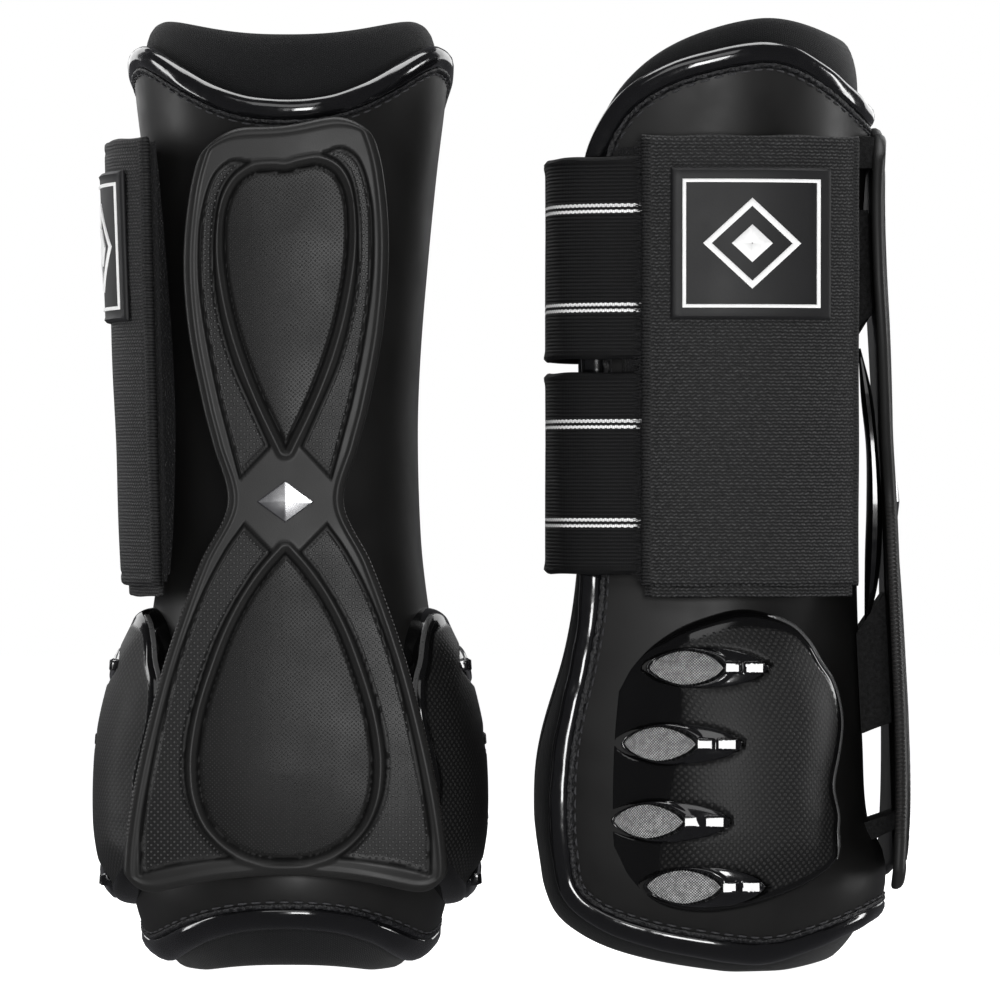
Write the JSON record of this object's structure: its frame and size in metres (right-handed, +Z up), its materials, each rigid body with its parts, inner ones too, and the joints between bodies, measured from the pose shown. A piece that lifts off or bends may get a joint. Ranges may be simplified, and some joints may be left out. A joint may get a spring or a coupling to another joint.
{
  "type": "tendon boots",
  "caption": "Open-front tendon boots for a horse's legs: padded shell with rear strike guard, fetlock cups, elastic straps and hook-and-loop tab.",
  "frame": {"origin": "centre of the pair's bounding box, on the surface the boots stand on", "axes": "+Z up along the leg; -Y faces the viewer; boot a shows its rear to -Y, boot b its outer side to -Y and its open front to -X"},
  "size_m": [0.221, 0.109, 0.2543],
  "materials": {
    "shell_satin": "satin moulded, fine grain",
    "binding_gloss": "high gloss",
    "liner_neoprene": "knit-faced neoprene",
    "foam": "matt closed-cell foam",
    "guard_satin": "satin moulded with pebbled panels",
    "badge_metal": "polished",
    "cup_pebbled": "pebbled face, glossy walls",
    "vent_metal": "fine woven mesh",
    "elastic": "ribbed woven elastic with white lines",
    "woven_tape": "woven tape",
    "pile": "hook-and-loop pile",
    "patch_rubber": "moulded, satin",
    "frame_white": "moulded raised line"
  },
  "bodies": {
    "boot_a": {"outer_shell_a": "shell_satin", "shell_binding_a": "binding_gloss", "liner_a": "liner_neoprene", "impact_pad_a": "foam", "strike_guard_a": "guard_satin", "guard_spacer_upper_a": "foam", "guard_spacer_lower_a": "foam", "guard_strut_a": "binding_gloss", "guard_badge_a": "badge_metal", "fetlock_cup_outer_a": "cup_pebbled", "fetlock_cup_inner_a": "cup_pebbled", "vent_bezels_outer_a": "binding_gloss", "vent_bezels_inner_a": "binding_gloss", "vent_meshes_outer_a": "vent_metal", "vent_meshes_inner_a": "vent_metal", "strap_anchors_a": "elastic", "shell_loop_panel_a": "pile"},
    "strap_a": {"strap_upper_a": "elastic", "strap_lower_a": "elastic"},
    "tab_a": {"closure_tab_a": "woven_tape", "tab_hook_lining_a": "pile", "badge_patch_a": "patch_rubber", "badge_frame_a": "frame_white"},
    "boot_b": {"outer_shell_b": "shell_satin", "shell_binding_b": "binding_gloss", "liner_b": "liner_neoprene", "impact_pad_b": "foam", "strike_guard_b": "guard_satin", "guard_spacer_upper_b": "foam", "guard_spacer_lower_b": "foam", "guard_strut_b": "binding_gloss", "guard_badge_b": "badge_metal", "fetlock_cup_outer_b": "cup_pebbled", "fetlock_cup_inner_b": "cup_pebbled", "vent_bezels_outer_b": "binding_gloss", "vent_bezels_inner_b": "binding_gloss", "vent_meshes_outer_b": "vent_metal", "vent_meshes_inner_b": "vent_metal", "strap_anchors_b": "elastic", "shell_loop_panel_b": "pile"},
    "strap_b": {"strap_upper_b": "elastic", "strap_lower_b": "elastic"},
    "tab_b": {"closure_tab_b": "woven_tape", "tab_hook_lining_b": "pile", "badge_patch_b": "patch_rubber", "badge_frame_b": "frame_white"}
  },
  "joints": [
    {"name": "strap_swing_a", "type": "hinge", "parent": "boot_a", "child": "strap_a", "pos_m": [-0.03097, 0.03961, 0.16217], "axis": [-0.0201, 0, -0.9998], "range_deg": [0, 110]},
    {"name": "tab_peel_a", "type": "hinge", "parent": "strap_a", "child": "tab_a", "pos_m": [-0.09647, 0.02538, 0.16217], "axis": [0.0323, 0, -0.9995], "range_deg": [0, 110]},
    {"name": "boot_b_lift", "type": "slide", "parent": "boot_a", "child": "boot_b", "axis": [0, 0, 1], "range_m": [0, 0.3]},
    {"name": "strap_swing_b", "type": "hinge", "parent": "boot_b", "child": "strap_b", "pos_m": [0.01639, 0.02511, 0.16217], "axis": [0, -0.0201, -0.9998], "range_deg": [0, 34]},
    {"name": "tab_peel_b", "type": "hinge", "parent": "strap_b", "child": "tab_b", "pos_m": [0.03062, -0.04039, 0.16217], "axis": [0, 0.0323, -0.9995], "range_deg": [0, 110]}
  ]
}
